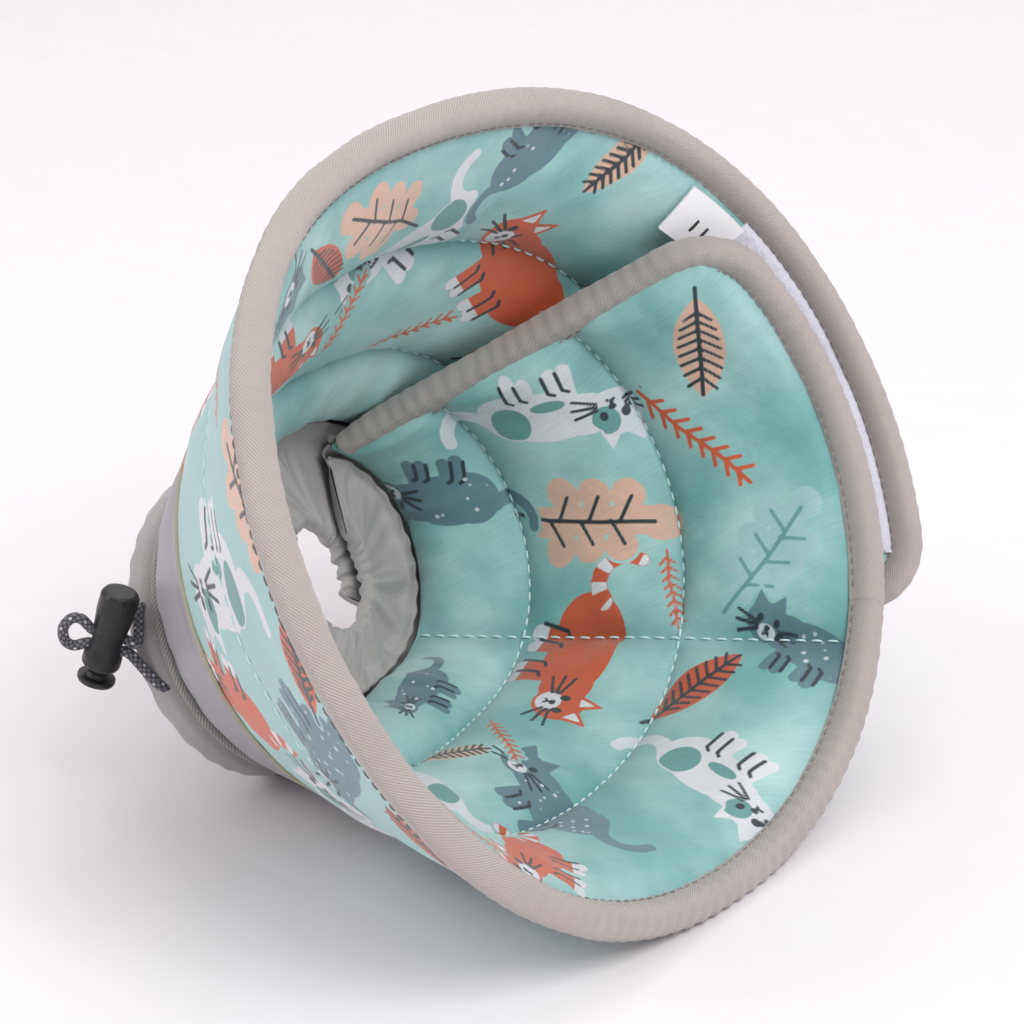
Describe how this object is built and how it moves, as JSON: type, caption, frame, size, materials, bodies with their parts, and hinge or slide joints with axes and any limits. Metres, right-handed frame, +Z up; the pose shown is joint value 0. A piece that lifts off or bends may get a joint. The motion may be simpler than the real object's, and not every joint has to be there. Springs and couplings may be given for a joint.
{
  "type": "elizabethan collar",
  "caption": "Soft quilted recovery cone for a small pet, wrapped over itself, with bound edge, drawcord neck sleeve and cord lock.",
  "frame": {"origin": "bottom centre of the bounding box, on the floor the cone lies on", "axes": "+X out of the wide mouth, -X towards the neck, +Y the longest side across the mouth, +Z up"},
  "size_m": [0.1744, 0.2408, 0.1718],
  "materials": {
    "shell": "satin",
    "lining": "satin",
    "padding": "matte",
    "binding": "matte",
    "reflective_strip": "satin",
    "piping": "matte",
    "neck_sleeve": "matte",
    "drawcord": "matte",
    "hook_tape": "matte",
    "loop_tape": "matte",
    "label": "matte",
    "lock_plastic": "matte",
    "spring_steel": "satin"
  },
  "bodies": {
    "root": {"binding_3": "binding", "drawcord_3": "drawcord", "lining_3": "lining", "neck_sleeve_3": "neck_sleeve", "padding_3": "padding", "piping_3": "piping", "reflective_strip_3": "reflective_strip", "shell_3": "shell"},
    "panel_1": {"binding_1": "binding", "drawcord_1": "drawcord", "hook_pad": "hook_tape", "lining_1": "lining", "neck_sleeve_1": "neck_sleeve", "padding_1": "padding", "piping_1": "piping", "reflective_strip_1": "reflective_strip", "shell_1": "shell"},
    "panel_2": {"binding_2": "binding", "drawcord_2": "drawcord", "lining_2": "lining", "neck_sleeve_2": "neck_sleeve", "padding_2": "padding", "piping_2": "piping", "reflective_strip_2": "reflective_strip", "shell_2": "shell"},
    "panel_4": {"binding_4": "binding", "drawcord_4": "drawcord", "lining_4": "lining", "neck_sleeve_4": "neck_sleeve", "padding_4": "padding", "piping_4": "piping", "reflective_strip_4": "reflective_strip", "shell_4": "shell"},
    "panel_5": {"binding_5": "binding", "drawcord_5": "drawcord", "lining_5": "lining", "neck_sleeve_5": "neck_sleeve", "padding_5": "padding", "piping_5": "piping", "reflective_strip_5": "reflective_strip", "shell_5": "shell"},
    "panel_6": {"binding_6": "binding", "drawcord_6": "drawcord", "lining_6": "lining", "loop_pad": "loop_tape", "neck_sleeve_6": "neck_sleeve", "padding_6": "padding", "piping_6": "piping", "reflective_strip_6": "reflective_strip", "shell_6": "shell", "size_label": "label"},
    "cord_lock": {"cord_lock_barrel": "lock_plastic", "lock_spring": "spring_steel"},
    "lock_plunger": {"cord_lock_plunger": "lock_plastic"}
  },
  "joints": [
    {"name": "unwrap", "type": "hinge", "parent": "root", "child": "panel_4", "pos_m": [-0.03459, -0.05483, 0.11285], "axis": [0.5689, -0.4519, 0.6871], "range_deg": [0, 60]},
    {"name": "unwrap_panel_5", "type": "hinge", "parent": "panel_4", "child": "panel_5", "pos_m": [-0.04534, 0.00218, 0.12225], "axis": [0.5447, -0.0958, 0.8331], "range_deg": [0, 60]},
    {"name": "peel_closure", "type": "hinge", "parent": "panel_5", "child": "panel_6", "pos_m": [-0.04085, 0.06202, 0.11361], "axis": [0.679, 0.246, 0.6916], "range_deg": [0, 60]},
    {"name": "unwrap_panel_2", "type": "hinge", "parent": "root", "child": "panel_2", "pos_m": [0.01904, 0.04383, 0.007], "axis": [-0.9879, -0.1024, -0.1164], "range_deg": [0, 42]},
    {"name": "unwrap_panel_1", "type": "hinge", "parent": "panel_2", "child": "panel_1", "pos_m": [-0.00137, 0.0844, 0.04589], "axis": [-0.9199, -0.2185, -0.3257], "range_deg": [0, 42]},
    {"name": "lock_slide", "type": "slide", "parent": "root", "child": "cord_lock", "axis": [-0.797, -0.5257, 0.2975], "range_m": [-0.0015, 0]},
    {"name": "lock_button", "type": "slide", "parent": "cord_lock", "child": "lock_plunger", "axis": [0.2492, 0.1625, 0.9547], "range_m": [0, 0.0025], "stiffness_N_per_m": 300, "deforming": ["lock_spring"]}
  ],
  "couplings": [
    {"joint": "unwrap_panel_5", "follows": "unwrap", "ratio": 1},
    {"joint": "unwrap_panel_2", "follows": "unwrap", "ratio": 0.7},
    {"joint": "unwrap_panel_1", "follows": "unwrap", "ratio": 0.7}
  ]
}
